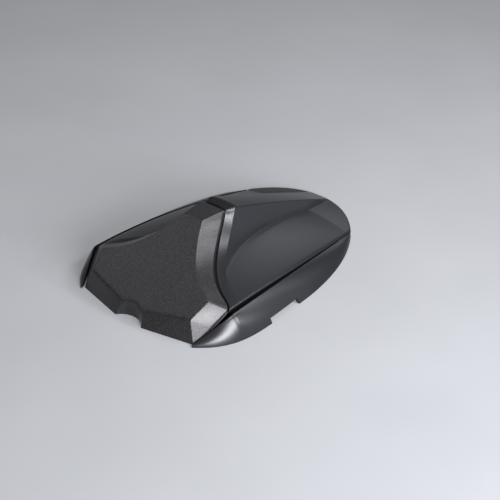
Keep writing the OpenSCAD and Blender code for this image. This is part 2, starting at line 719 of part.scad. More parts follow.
// Soft strips glued inside the skirts' lower rims, behind the notch
strip_rows = [0, 0.14, 0.28, 0.42, 0.56, 0.7, 0.85, 1];
function strip_face(s, away) =
    let (
        top = skirt_top(s),
        bow = skirt_bow * clamp01((rim_x(s) - top.x) / bow_full_w),
        rim_lean = (rim_x(s) - top.x - 4 * bow * bow_out) / (top.z + 4 * bow * bow_up),
        lean = lerp(rim_lean, (rim_x(s) - top.x) / top.z, 0.3),
        low_x = rim_x(s) - wall * norm([1, rim_lean]) - 2 * fit_gap - away
    )
    [
        [low_x - lean * (rest_gap + strip_h), y_at(s), rest_gap + strip_h],
        [low_x - lean * rest_gap, y_at(s), rest_gap]
    ];

module edge_strip() {
    stations = [for (t = strip_rows) lerp(strip_at, strip_end_at, t)];
    color([0.06, 0.06, 0.06]) sheet([for (s = stations) strip_face(s, 0)], [for (s = stations) strip_face(s, strip_w)]);
}

module left_edge_strip() {
    edge_strip();
}

module right_edge_strip() {
    mirror([1, 0, 0]) edge_strip();
}

// Base plate

// Half width of the plate: its front corners, the skirts beside it and the rounded rear end. A skirt's
// leaning wall is wider across than it is thick
wall_lean = 1.4;
deck_side_steps = 12;
deck_round_steps = 9;
function deck_side_x(s) =
    let (top = skirt_top(s))
    lerp(rim_x(s), top.x, min(1, deck_top / top.z)) - wall * wall_lean - deck_gap;
function deck_x(s) =
    let (t = clamp01((s - deck_round_at) / (deck_rear_at - deck_round_at)))
    t > 0 ? deck_side_x(deck_round_at) * pow(1 - pow(t, deck_round_power), 1 / deck_round_power)
        : min(deck_side_x(s), deck_front_x + deck_corner_run * (s - deck_front_at));
deck_stations = concat(
    [for (k = [0 : deck_side_steps]) lerp(deck_front_at, deck_round_at, k / deck_side_steps)],
    [for (k = [1 : deck_round_steps]) lerp(deck_round_at, deck_rear_at, sin(90 * k / deck_round_steps))]
);

module deck_outline(inset) {
    middle = (deck_front_at + deck_rear_at) / 2;
    squeeze = 1 - 2 * inset / (deck_rear_at - deck_front_at);
    side = [for (s = deck_stations) [max(0, deck_x(s) - inset), y_at(middle + (s - middle) * squeeze)]];
    polygon(concat(side, [for (k = [len(side) - 2 : -1 : 0]) [-side[k].x, side[k].y]]));
}

// Screws that hold the mouldings, and the ones that hold the tongue
panel_bosses = [for (side = [-1, 1]) [side * panel_boss_x, panel_boss_at]];
both_skirt_bosses = [for (side = [-1, 1], b = skirt_bosses) [side * b.x, b.y]];
tongue_screw_spots = [for (side = [-1, 1]) [side * tongue_screw_gap / 2, tongue_screw_at]];
damper_spots = [for (s = [damper_front_at, damper_rear_at], side = [-1, 1]) [side * damper_x, s]];
bolt_spots = [for (side = [-1, 1]) [side * bracket_bolts / 2, pocket_at]];

module at_spots(spots, z) {
    for (p = spots) translate([p.x, y_at(p.y), z]) children();
}

module deck_ribs() {
    rib_top = deck_z + overlap;
    rib_low = deck_z - rib_h;
    pocket_rear = pocket_at + pocket_l / 2 + deck_t;
    clear_h = rib_h + 1;
    difference() {
        rib_grid(rib_top, rib_low, pocket_rear);
        at_spots(concat(shell_bosses, panel_bosses, both_skirt_bosses), deck_z - clear_h)
            cylinder(d = screw_head_d + 2 * rib_clear, h = clear_h);
        at_spots(damper_spots, deck_z - clear_h) cylinder(d = damper_d + 2 * rib_clear, h = clear_h);
    }
}

module rib_grid(rib_top, rib_low, pocket_rear) {
    intersection() {
        translate([0, 0, rib_low]) linear_extrude(rib_top - rib_low) deck_outline(0);
        union() {
            translate([0, 0, rib_low]) linear_extrude(rib_top - rib_low) difference() {
                deck_outline(rib_inset);
                deck_outline(rib_inset + rib_t);
            }
            intersection() {
                translate([0, 0, rib_low]) linear_extrude(rib_top - rib_low) deck_outline(rib_inset + rib_t / 2);
                union() {
                    for (k = [-2, -1, 1, 2])
                        translate([k * rib_pitch - rib_t / 2, y_at(pocket_rear), rib_low])
                            cube([rib_t, length, rib_top - rib_low]);
                    for (k = [0 : 3])
                        translate([-half_w, y_at(cross_rib_at + k * rib_pitch), rib_low])
                            cube([width, rib_t, rib_top - rib_low]);
                }
            }
        }
    }
}

module pocket_block(grow, low, high) {
    l = pocket_l + 2 * grow;
    w = pocket_w + 2 * grow;
    translate([-w / 2, y_at(pocket_at) - l / 2, low]) cube([w, l, high - low]);
}

module base_plate() {
    color([0.08, 0.08, 0.085]) difference() {
        union() {
            translate([0, 0, deck_z]) linear_extrude(deck_t) deck_outline(0);
            deck_ribs();
            pocket_block(deck_t, deck_z - rib_h, pocket_z + deck_t);
            at_spots(tongue_screw_spots, deck_top - overlap) cylinder(d = boss_d, h = boss_bore_l - deck_t + overlap);
        }
        pocket_block(0, -1, pocket_z);
        // Way for the tongue through the rim of the plate
        translate([-tongue_w / 2 - fit_gap, y_at(tongue_at) - fit_gap, -1])
            cube([tongue_w + 2 * fit_gap, length, deck_z + 1]);
        at_spots(concat(shell_bosses, panel_bosses, both_skirt_bosses), deck_z - 1)
            cylinder(d = screw_d + hole_play, h = deck_t + 2);
        at_spots(tongue_screw_spots, deck_z - 1) cylinder(d = screw_d + screw_play, h = boss_bore_l);
        at_spots(damper_spots, deck_z - 1) cylinder(d = damper_neck_d + damper_play, h = deck_t + 2);
        at_spots(bolt_spots, pocket_z - 1) cylinder(d = bolt_d + hole_play, h = deck_t + 2);
    }
}

// Rubber damper pushed into a hole of the plate: foot, neck and snap lip
module damper(k) {
    p = damper_spots[k];
    foot_r = damper_d / 2;
    neck_r = damper_neck_d / 2;
    lip_r = damper_lip_d / 2;
    round_h = 1.5;
    lip_edge = 0.8;
    lip_taper = 1;
    color([0.05, 0.05, 0.05]) translate([p.x, y_at(p.y), 0]) rotate_extrude() polygon([
        [0, rest_gap], [foot_r - round_h, rest_gap], [foot_r, rest_gap + round_h], [foot_r, deck_z],
        [neck_r, deck_z], [neck_r, deck_top], [lip_r, deck_top], [lip_r, deck_top + lip_edge],
        [neck_r - lip_taper, deck_top + damper_lip_h], [0, deck_top + damper_lip_h]
    ]);
}

module rear_right_damper() { damper(2); }
module rear_left_damper() { damper(3); }
module front_right_damper() { damper(0); }
module front_left_damper() { damper(1); }

// Outline of a pan head in shares of its radius and height, and the length of a screw's point
pan_head = [[0, 1], [0.55, 1], [0.85, 0.7], [1, 0.3], [1, 0]];
screw_point = 1;
// Pan-head screw pointing up, its shank starting at z = 0, with a cross recess under its head
module screw(l = screw_l) {
    head = [for (p = pan_head) [p.x * screw_head_d / 2, -p.y * screw_head_h]];
    shank = [[screw_d / 2, 0], [screw_d / 2, l - screw_point], [screw_d / 4, l], [0, l]];
    difference() {
        rotate_extrude() polygon(concat(head, shank));
        for (a = [0, 90]) rotate([0, 0, a])
            translate([-recess_l / 2, -recess_w / 2, -screw_head_h - 1]) cube([recess_l, recess_w, recess_deep + 1]);
    }
}

module shell_screws() {
    color([0.2, 0.2, 0.21]) at_spots(shell_bosses, deck_z) screw();
}

module panel_screws() {
    color([0.2, 0.2, 0.21]) at_spots(panel_bosses, deck_z) screw();
}

module left_skirt_screws() {
    color([0.2, 0.2, 0.21]) at_spots(skirt_bosses, deck_z) screw(skirt_screw_l);
}

module right_skirt_screws() {
    color([0.2, 0.2, 0.21]) at_spots([for (b = skirt_bosses) [-b.x, b.y]], deck_z) screw(skirt_screw_l);
}

module tongue_screws() {
    color([0.2, 0.2, 0.21]) at_spots(tongue_screw_spots, deck_z - tongue_t) screw();
}

// Pressed bracket under the pocket's roof, its front and rear edges turned down
module striker_bracket() {
    top = pocket_z;
    color([0.45, 0.46, 0.48]) translate([0, y_at(pocket_at), top]) difference() {
        union() {
            translate([-bracket_w / 2, -bracket_l / 2, -bracket_t]) cube([bracket_w, bracket_l, bracket_t]);
            for (side = [0, 1]) mirror([0, side, 0])
                translate([-bracket_w / 2, bracket_l / 2 - bracket_t, -bracket_lip])
                    cube([bracket_w, bracket_t, bracket_lip]);
        }
        for (side = [-1, 1]) translate([side * bracket_bolts / 2, 0, -bracket_t - 1])
            cylinder(d = bolt_d + hole_play, h = bracket_t + 2);
    }
}

// Loop of round rod, its two legs welded to the bracket's underside
module striker_loop() {
    leg_top = pocket_z - bracket_t;
    leg_low = loop_z + loop_r;
    color([0.6, 0.61, 0.63]) translate([0, y_at(pocket_at), 0]) {
        translate([-loop_w / 2 + loop_r, 0, loop_z]) rotate([0, 90, 0]) cylinder(d = rod_d, h = loop_w - 2 * loop_r);
        for (side = [0, 1]) mirror([side, 0, 0]) {
            translate([loop_w / 2, 0, leg_low]) cylinder(d = rod_d, h = leg_top - leg_low);
            translate([loop_w / 2, 0, leg_top - weld]) cylinder(r1 = rod_d / 2, r2 = rod_d / 2 + weld, h = weld);
            translate([loop_w / 2 - loop_r, 0, leg_low]) rotate([90, 0, 0])
                rotate([0, 0, -90]) rotate_extrude(angle = 90) translate([loop_r, 0]) circle(d = rod_d);
        }
    }
}

// Flanged hexagon head, standing down from z = 0
module hex_head() {
    translate([0, 0, -bolt_flange_t]) cylinder(d = bolt_flange_d, h = bolt_flange_t);
    translate([0, 0, -bolt_head_h]) cylinder(d = bolt_flats / cos(30), h = bolt_head_h, $fn = 6);
}

module striker_bolts() {
    plate_low = pocket_z - bracket_t;
    nut_top = pocket_z + deck_t + bolt_head_h;
    color([0.5, 0.51, 0.53]) at_spots(bolt_spots, plate_low) {
        hex_head();
        cylinder(d = bolt_d, h = nut_top - plate_low + 1);
    }
}

module striker_nuts() {
    color([0.5, 0.51, 0.53]) at_spots(bolt_spots, pocket_z + deck_t) difference() {
        mirror([0, 0, 1]) hex_head();
        translate([0, 0, -1]) cylinder(d = bolt_d + screw_play, h = bolt_head_h + 2);
    }
}

// Strip-steel tongue under the plate's rear end, stepped down behind it to slide under the tail's cross bar
module rear_tongue() {
    top = deck_z;
    step_at = deck_rear_at + tongue_step_gap;
    step_end_at = step_at + tongue_step_run * tongue_drop;
    color([0.45, 0.46, 0.48]) difference() {
        translate([-tongue_w / 2, 0, 0]) rotate([90, 0, 90]) linear_extrude(tongue_w) polygon([
            [y_at(tongue_at), top], [y_at(step_at), top], [y_at(step_end_at), top - tongue_drop],
            [y_at(tongue_end_at), top - tongue_drop], [y_at(tongue_end_at), top - tongue_drop - tongue_t],
            [y_at(step_end_at), top - tongue_drop - tongue_t], [y_at(step_at), top - tongue_t],
            [y_at(tongue_at), top - tongue_t]
        ]);
        at_spots(tongue_screw_spots, 0) cylinder(d = screw_d + hole_play, h = deck_top);
        // Corners of the free end
        for (side = [-1, 1]) translate([side * tongue_w / 2, y_at(tongue_end_at), 0])
            rotate([0, 0, 45]) translate([-tongue_corner, -tongue_corner, -1])
                cube([2 * tongue_corner, 2 * tongue_corner, deck_top]);
    }
}

upper_shell();
front_panel();
left_side_skirt();
right_side_skirt();
base_plate();
striker_bracket();
striker_loop();
striker_bolts();
striker_nuts();
rear_tongue();
tongue_screws();
front_left_damper();
front_right_damper();
rear_left_damper();
rear_right_damper();
shell_screws();
panel_screws();
left_skirt_screws();
right_skirt_screws();
left_edge_strip();
right_edge_strip();
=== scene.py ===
# Seat cowl of a motorcycle: one rigid cover of moulded pieces, carried on a black base.
# Lengths are in millimetres until a mesh is made. Stations (s) run rearwards along the cowl.
import math

import bmesh
import bpy
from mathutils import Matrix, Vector


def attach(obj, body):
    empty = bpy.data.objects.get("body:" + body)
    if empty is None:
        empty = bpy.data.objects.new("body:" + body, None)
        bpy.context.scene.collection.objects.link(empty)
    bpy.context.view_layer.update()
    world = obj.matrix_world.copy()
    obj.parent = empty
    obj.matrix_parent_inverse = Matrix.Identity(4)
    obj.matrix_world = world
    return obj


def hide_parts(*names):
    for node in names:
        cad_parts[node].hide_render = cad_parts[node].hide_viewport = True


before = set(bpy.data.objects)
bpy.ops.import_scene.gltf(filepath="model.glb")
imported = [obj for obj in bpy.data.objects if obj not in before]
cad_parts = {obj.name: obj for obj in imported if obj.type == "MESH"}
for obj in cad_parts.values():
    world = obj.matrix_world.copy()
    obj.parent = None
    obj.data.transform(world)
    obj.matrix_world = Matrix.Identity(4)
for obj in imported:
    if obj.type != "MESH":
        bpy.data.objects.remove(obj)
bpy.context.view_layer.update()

# Upper shell: one painted moulding with a hump that runs out to the rear, broad shoulders,
# a bevelled front edge and, in front of it, a sunk border on which the black panel rests.
# It is moulded in plastic, sprayed dark blue-grey, and screwed to the base plate from below.

# Outline: the lower rim, the shoulders' outer edge and the wing's tip (x, station, height)
shell_length = 324.0
shell_wall = 3.0
rim_widest = 114.0
rim_widest_at = 139.0
rim_power = 2.1
rim_front_power = 5
skirt_tip = (79.0, 13.0)
wing = (91.3, 54.4, 28.0)
shoulder_end = (75.0, 278.0)
shoulder_in_power = 2.2
shoulder_fall_power = 1.7
shoulder_end_lift = 0.1
shoulder_rise = 16.0
arch_power = 4

# Hump: its crest, and the foot of its hollow walls (half widths at the front and at the rear)
crest_halves = (17.7, 12.0)
crest_at = 150.0
crest_z = 73.0
crest_bow = 1.6
crest_crown = 1.2
hump_power = 1.8
foot_halves = (60.0, 17.0)
foot_behind = 33.0
foot_fade = 60.0
crest_most = 0.3
foot_most = 0.8

# Front edge, with the bevel behind it and the sunk border in front of it
ridge_edge_at = 140.0
sweep_share = 0.7
sweep_power = 2.5
sweep_end_power = 0.6
bevel_width = 10.0
bevel_drop = 3.4
bevel_fade = 2.2
border_width = 6.5
border_fade = 0.7
border_fade_power = 3
ridge_border = 2.8
ridge_border_power = 1.5
border_tuck = 3.0
border_play = 0.8
border_end_power = 6
border_step = 0.12

# Ends of the shell, and the middle of the cowl's length
rear_at = shell_length - 0.22
nose_at = 4.005
middle_at = (nose_at + rear_at) / 2

# The panel's sloping face and flat top, because the border under them follows their edges
face_slope = 0.64
face_top = (12.2, 104.7)
face_wing = (74.0, 43.9)
face_sweep_share = 0.6
face_sweep_power = 2.9
edge_lift = 4.0
edge_lift_run = 0.08
bevel_lift = -1.6
bevel_lift_run = 0.04
proud_way = Vector((0.538, -0.644, 0.544))
panel_height = 76.0
panel_wall = 2.6
top_rear = (15.7, 135.0)
top_fall = 0.5
corner_out = 0.4
corner_down = 0.6

# Screw bosses, which stand on the base plate's top
deck_top = 9.0
screw_hole = 4.1
boss_width = 9.0
boss_turns = 24
boss_core = 0.4
boss_bore = 7.5

# Columns (u, from -1 to 1 across the shell) and rows of the shell's sheet
ridge_u = 0.2
foot_u = 0.6
meet_steps = 24
meet_play = 2.0
skin_start = 1.12
row_power = 1.25


def clamp01(t):
    return min(1.0, max(0.0, t))


def lerp(a, b, t):
    return a + (b - a) * t


def ease(t):
    t = clamp01(t)
    return t * t * (3 - 2 * t)


def spot(x, s, z):
    return Vector((x, s - middle_at, z))


def rim_x(s):
    """Half width of the skirts' lower rim."""
    if s < rim_widest_at:
        t = clamp01((rim_widest_at - s) / (rim_widest_at - skirt_tip[1]))
        return rim_widest - (rim_widest - skirt_tip[0]) * t ** rim_front_power
    t = (s - rim_widest_at) / (shell_length - rim_widest_at)
    return rim_widest * max(0.0, 1 - t ** rim_power) ** (1 / rim_power)


def along(s):
    """How far a station lies along the shoulder, from 0 at the wing to 1 at its rear end."""
    return clamp01((s - wing[1]) / (shoulder_end[1] - wing[1]))


def shoulder_x(s):
    return lerp(wing[0], shoulder_end[0], along(s) ** shoulder_in_power)


def shoulder_z(s):
    return lerp(wing[2], shell_wall + shoulder_end_lift, along(s) ** shoulder_fall_power)


def edge_x(s):
    """Half width of the shell at a station."""
    return min(shoulder_x(s), rim_x(s))


def crest_share(s):
    """How far a station lies along the hump's crest, from 0 at its front to 1 at the rear."""
    return (s - crest_at) / (shell_length - crest_at)


def crest_half(s):
    return lerp(crest_halves[0], crest_halves[1], math.sqrt(clamp01(crest_share(s))))


def foot_half(s):
    closing = math.exp((wing[1] + foot_behind - s) / foot_fade)
    return foot_halves[1] + (foot_halves[0] - foot_halves[1]) * closing


def skin_z(x, s):
    """Height of the painted skin: the shoulders, with the hump raised on them."""
    across = abs(x) / max(edge_x(s), 1)
    fall = clamp01((s - wing[1]) / (shell_length - wing[1])) ** arch_power
    low = shoulder_z(s) + shoulder_rise * (1 - fall) * (1 - across ** 2)
    t = crest_share(s)
    top = crest_z - (crest_z - shell_wall) * t + crest_bow * math.sin(math.pi * clamp01(t))
    half = crest_half(s)
    share = clamp01(1 - (abs(x) - half) / (foot_half(s) - half)) ** hump_power
    crown = crest_crown * (1 - min(abs(x) / half, 1) ** 2) * clamp01(1 - t)
    return lerp(low, max(top, low), share) + crown


def edge_q(x):
    """Share of the way along the front edge, from 0 beside the ridge to 1 at the wing's tip."""
    return clamp01((abs(x) - crest_halves[0]) / (wing[0] - crest_halves[0]))


def front_at(x):
    """Station of the shell's front edge: a steep curve and a gentle one, mixed."""
    t = 1 - edge_q(x)
    return lerp(wing[1], ridge_edge_at, lerp(t ** sweep_end_power, t ** sweep_power, sweep_share))


def bevel_here(x):
    return bevel_drop * ease((1 - edge_q(x)) * bevel_fade)


def shell_z(x, s):
    """Height of the shell, its sunk bevel included."""
    return skin_z(x, s) - bevel_here(x) * (1 - clamp01((s - front_at(x)) / bevel_width))


def column_x(u, s):
    """Side position of a column of points. Columns follow the crest, the hump's foot and the edge."""
    a = abs(u)
    crest = min(crest_half(s), edge_x(s) * crest_most)
    foot = min(foot_half(s), edge_x(s) * foot_most)
    if a < ridge_u:
        x = lerp(0, crest, a / ridge_u)
    elif a < foot_u:
        x = lerp(crest, foot, (a - ridge_u) / (foot_u - ridge_u))
    else:
        x = lerp(foot, edge_x(s), (a - foot_u) / (1 - foot_u))
    return math.copysign(x, u)


def behind_front(u, behind):
    """Station at which a column lies a given way behind the shell's front edge."""
    if abs(u) <= ridge_u:
        return ridge_edge_at + behind
    low, high = wing[1] - meet_play, ridge_edge_at + behind + meet_play
    for _ in range(meet_steps):
        mid = (low + high) / 2
        if front_at(column_x(u, mid)) + behind > mid:
            low = mid
        else:
            high = mid
    return (low + high) / 2


def shell_at(u, s):
    x = column_x(u, s)
    return spot(x, s, shell_z(x, s))


def sunk(x, s, depth):
    """A point sunk below the painted skin, square to it."""
    step = 0.5
    fall_x = (skin_z(x + step, s) - skin_z(x - step, s)) / (2 * step)
    fall_s = (skin_z(x, s + step) - skin_z(x, s - step)) / (2 * step)
    return spot(x, s, skin_z(x, s)) - depth * Vector((-fall_x, -fall_s, 1)).normalized()


def bevel_point(u, t):
    """A point of the bevel. Across the ridge the columns draw in with the sunk corner."""
    s = behind_front(u, t * bevel_width)
    x = column_x(u, s)
    depth = bevel_here(x) * (1 - clamp01(t))
    if abs(u) > ridge_u:
        proud = bevel_lift * depth / bevel_drop * ease((abs(u) - ridge_u) / bevel_lift_run)
        way = Vector((math.copysign(proud_way.x, u), proud_way.y, proud_way.z))
        return sunk(x, s, depth) + proud * way
    corner = sunk(column_x(ridge_u, s), s, depth)
    return Vector((corner.x * u / ridge_u, corner.y, skin_z(x, s) - depth))


def skin_point(u, v):
    """A point of the painted skin behind the bevel, from its first row (v = 0) to the rear."""
    first = behind_front(u, bevel_width * skin_start)
    return shell_at(u, lerp(first, rear_at, 1 - (1 - v) ** row_power))


def face_z(s):
    return panel_height + face_slope * (s - face_top[1])


def shell_edge(q):
    x = lerp(crest_halves[0], wing[0], q)
    s = front_at(x)
    return spot(x, s, shell_z(x, s))


def face_edge(q):
    t = 1 - q
    s = lerp(face_wing[1], face_top[1], lerp(t, t ** face_sweep_power, face_sweep_share))
    return spot(lerp(face_top[0], face_wing[0], q), s, face_z(s))


def panel_seat(q):
    outside, inside = shell_edge(q), face_edge(q)
    width = border_width * (1 - border_fade * q ** border_fade_power)
    width += ridge_border * (1 - q) ** ridge_border_power
    return outside + width * (inside - outside).normalized()


def panel_edge(q):
    """The panel's edge stands a little proud of its seat, most of all beside the ridge."""
    return panel_seat(q) + edge_lift * ease(q / edge_lift_run) * math.sqrt(1 - q) * proud_way


def border_normal(q):
    """The way out of the border, square to the line across it and to the edge's run."""
    step = 0.02
    a, b = max(0.0, q - step), min(1.0, q + step)
    return (shell_edge(b) - shell_edge(a)).cross(shell_edge(q) - face_edge(q)).normalized()


top_rear_z = panel_height - top_fall
top_corner = spot(top_rear[0] + corner_out, top_rear[1], top_rear_z - corner_down)


def border_points(u):
    """The sunk border: three points of one column, in front of the bevel."""
    at = bevel_point(u, 0)
    q = edge_q(column_x(u, behind_front(u, 0)))
    side = -1 if u < 0 else 1
    rest, away, up = panel_seat(q), face_edge(q), border_normal(q)
    tilt = 1.0
    if abs(u) < ridge_u:
        share = u / ridge_u
        rest = Vector((share * top_corner.x, top_corner.y, top_rear_z))
        away = spot(share * face_top[0], face_top[1], panel_height)
        tilt = (abs(u) / ridge_u) ** border_end_power
    else:
        rest.x *= side
        away.x *= side
    up = Vector((side * up.x * tilt, up.y * tilt, lerp(1, up.z, tilt))).normalized()
    deep = (panel_wall + border_play * (1 + q ** border_end_power)) * up
    tucked = rest + border_tuck * (away - rest).normalized()
    return [tucked - deep, rest - deep, at.lerp(rest, border_step) - deep]


def grid_normal(grid, i, j):
    n, m = len(grid) - 1, len(grid[0]) - 1
    rows = grid[min(i + 1, n)][j] - grid[max(i - 1, 0)][j]
    cols = grid[i][min(j + 1, m)] - grid[i][max(j - 1, 0)]
    return cols.cross(rows).normalized()


def moulded_piece(name, outer, inner, unpainted_and_shade=None, bosses=()):
    """A closed, smoothed sheet between two grids of points, its rim kept crisp at the ground."""
    rows, cols = len(outer), len(outer[0])
    count = rows * cols
    points = [p for grid in (outer, inner) for row in grid for p in row]
    cells = [(i * cols + j, i * cols + j + 1, (i + 1) * cols + j + 1, (i + 1) * cols + j)
             for i in range(rows - 1) for j in range(cols - 1)]
    rim = list(range(cols)) + [i * cols + cols - 1 for i in range(1, rows)]
    rim += [(rows - 1) * cols + j for j in range(cols - 2, -1, -1)]
    rim += [i * cols for i in range(rows - 2, 0, -1)]
    mesh = bmesh.new()
    unpainted_and_shade_layer = mesh.verts.layers.float.new("unpainted_and_shade")
    crease = mesh.edges.layers.float.new("crease_edge")
    verts = [mesh.verts.new(p / 1000) for p in points]
    for cell in cells:
        mesh.faces.new([verts[k] for k in cell])
        mesh.faces.new([verts[k + count] for k in reversed(cell)])
    for k, a in enumerate(rim):
        b = rim[(k + 1) % len(rim)]
        mesh.faces.new([verts[b], verts[a], verts[a + count], verts[b + count]])
    # A vertex share turns the paint black: the inner sheet and the bosses are unpainted plastic, and
    # the given function marks outer places that are black as painted shade.
    if unpainted_and_shade:
        for i in range(rows):
            for j in range(cols):
                verts[i * cols + j][unpainted_and_shade_layer] = unpainted_and_shade(i, j)
    for v in verts[count:]:
        v[unpainted_and_shade_layer] = 1.0
    ground_band = 0.0006
    for edge in mesh.edges:
        if all(v.co.z < ground_band for v in edge.verts):
            edge[crease] = 1.0
    if mesh.calc_volume(signed=True) < 0:
        bmesh.ops.reverse_faces(mesh, faces=mesh.faces)
    sheet = set(mesh.faces)
    for boss in bosses:
        add_boss(mesh, unpainted_and_shade_layer, *boss)
    bmesh.ops.recalc_face_normals(mesh, faces=[face for face in mesh.faces if face not in sheet])
    data = bpy.data.meshes.new(name)
    mesh.to_mesh(data)
    mesh.free()
    data.polygons.foreach_set("use_smooth", [True] * len(data.polygons))
    piece = bpy.data.objects.new(name, data)
    bpy.context.collection.objects.link(piece)
    smooth = piece.modifiers.new("smooth", "SUBSURF")
    smooth.levels = smooth.render_levels = 1
    return piece


def add_boss(mesh, unpainted_and_shade_layer, x, s, top, depth):
    """A tube that stands on the base plate, bored for its screw and closed at the top."""
    outline = [(boss_width / 2, top), (boss_width / 2, deck_top), (screw_hole / 2, deck_top),
               (screw_hole / 2, deck_top + depth), (boss_core, deck_top + depth)]
    rings = []
    for radius, z in outline:
        ring = []
        for k in range(boss_turns):
            a = 2 * math.pi * k / boss_turns
            v = mesh.verts.new(spot(x + radius * math.cos(a), s + radius * math.sin(a), z) / 1000)
            v[unpainted_and_shade_layer] = 1.0
            ring.append(v)
        rings.append(ring)
    for a, b in zip(rings, rings[1:]):
        for k in range(boss_turns):
            after = (k + 1) % boss_turns
            mesh.faces.new([a[k], a[after], b[after], b[k]])
    mesh.faces.new(rings[0])
    mesh.faces.new(rings[-1])


def new_finish(name, roughness, metallic=0.0, specular=0.5):
    """A new material with plain starting values, and what its nodes are added to."""
    finish = bpy.data.materials.new(name)
    finish.use_nodes = True
    shader = finish.node_tree.nodes["Principled BSDF"]
    shader.inputs["Roughness"].default_value = roughness
    shader.inputs["Metallic"].default_value = metallic
    shader.inputs["Specular IOR Level"].default_value = specular
    return finish, finish.node_tree.nodes, finish.node_tree.links, shader


def noise(nodes, links, scale, detail=3.0, stretch=(1, 1, 1)):
    """Noise over the piece's own metres, so that it stays put in every view."""
    place = nodes.new("ShaderNodeTexCoord")
    stretched = nodes.new("ShaderNodeMapping")
    stretched.inputs["Scale"].default_value = stretch
    texture = nodes.new("ShaderNodeTexNoise")
    texture.inputs["Scale"].default_value = scale
    texture.inputs["Detail"].default_value = detail
    links.new(place.outputs["Object"], stretched.inputs["Vector"])
    links.new(stretched.outputs["Vector"], texture.inputs["Vector"])
    return texture.outputs["Fac"]


def blend_colours(nodes, links, share, low, high, start=0.3, end=0.7):
    """A colour between two, by a share that counts from start to end."""
    ramp = nodes.new("ShaderNodeValToRGB")
    ramp.color_ramp.elements[0].position = start
    ramp.color_ramp.elements[1].position = end
    ramp.color_ramp.elements[0].color = (*low, 1)
    ramp.color_ramp.elements[1].color = (*high, 1)
    links.new(share, ramp.inputs["Fac"])
    return ramp.outputs["Color"]


def number_range(nodes, links, share, low, high, start=0.3, end=0.7):
    """A number between two, by a share that counts from start to end."""
    stretch = nodes.new("ShaderNodeMapRange")
    stretch.inputs["From Min"].default_value = start
    stretch.inputs["From Max"].default_value = end
    stretch.inputs["To Min"].default_value = low
    stretch.inputs["To Max"].default_value = high
    links.new(share, stretch.inputs["Value"])
    return stretch.outputs["Result"]


def tint(nodes, links, shader, share, low, high, start=0.3, end=0.7):
    """Lets a surface's own colour wander between two."""
    links.new(blend_colours(nodes, links, share, low, high, start, end), shader.inputs["Base Color"])


def sheen(nodes, links, shader, share, low, high):
    """Lets a surface's roughness wander between two values."""
    links.new(number_range(nodes, links, share, low, high), shader.inputs["Roughness"])


def bump(nodes, links, shader, height, distance, strength=1.0, under=None):
    """Fine relief, over another one if that is given."""
    node = nodes.new("ShaderNodeBump")
    node.inputs["Distance"].default_value = distance
    node.inputs["Strength"].default_value = strength
    links.new(height, node.inputs["Height"])
    if under:
        links.new(under, node.inputs["Normal"])
    links.new(node.outputs["Normal"], shader.inputs["Normal"])
    return node.outputs["Normal"]


def mix_by(nodes, links, share, low, high, kind="FLOAT"):
    """Goes from low to high with a share. Both may be values or outputs of nodes."""
    mix = nodes.new("ShaderNodeMix")
    mix.data_type = kind
    first, second = {"FLOAT": (2, 3), "RGBA": (6, 7)}[kind]
    links.new(share, mix.inputs[0])
    for socket, value in ((first, low), (second, high)):
        if hasattr(value, "is_output"):
            links.new(value, mix.inputs[socket])
        elif kind == "RGBA":
            mix.inputs[socket].default_value = (*value, 1)
        else:
            mix.inputs[socket].default_value = value
    return mix.outputs[0 if kind == "FLOAT" else 2]


paint_dark = (0.0075, 0.0080, 0.0098)
paint_light = (0.0135, 0.0143, 0.0172)
cloud_dark = (0.93, 0.93, 0.93)
cloud_light = (1.05, 1.05, 1.06)
paint_metal = 0.25
# Black where the paint is left off: real unpainted plastic inside the mouldings, and painted shade in
# the sunk border, the ridge band and the groove's ledge, where the dark comes from shade between parts.
# Its metallic share over a near-black base keeps these places from shining, which deepens that painted
# shade.
unpainted_and_shade_black = (0.010, 0.010, 0.011)
unpainted_and_shade_rough = 0.75
unpainted_and_shade_metal = 0.7
paint, nodes, links, shader = new_finish("dark_metallic_paint", 0.3, paint_metal, 0.65)
flakes = noise(nodes, links, scale=2600, detail=2)
clouds = noise(nodes, links, scale=14)
flake_colour = blend_colours(nodes, links, flakes, paint_dark, paint_light, 0.35, 0.65)
cloud_colour = blend_colours(nodes, links, clouds, cloud_dark, cloud_light)
tinted = nodes.new("ShaderNodeMix")
tinted.data_type = "RGBA"
tinted.blend_type = "MULTIPLY"
tinted.inputs[0].default_value = 1.0
links.new(flake_colour, tinted.inputs[6])
links.new(cloud_colour, tinted.inputs[7])
# A vertex share turns the paint black: unpainted plastic on the insides and bosses, painted shade in
# the border, the ridge band and the ledge.
unpainted_and_shade_attribute = nodes.new("ShaderNodeAttribute")
unpainted_and_shade_attribute.attribute_name = "unpainted_and_shade"
unpainted_and_shade_share = unpainted_and_shade_attribute.outputs["Fac"]
satin = number_range(nodes, links, clouds, 0.29, 0.34)
skin_colour = mix_by(nodes, links, unpainted_and_shade_share, tinted.outputs[2], unpainted_and_shade_black, "RGBA")
links.new(skin_colour, shader.inputs["Base Color"])
links.new(mix_by(nodes, links, unpainted_and_shade_share, satin, unpainted_and_shade_rough), shader.inputs["Roughness"])
links.new(mix_by(nodes, links, unpainted_and_shade_share, paint_metal, unpainted_and_shade_metal), shader.inputs["Metallic"])
peel = bump(nodes, links, shader, noise(nodes, links, scale=420, detail=1), 0.00002, 0.5)
bump(nodes, links, shader, flakes, 0.00001, 0.3, peel)

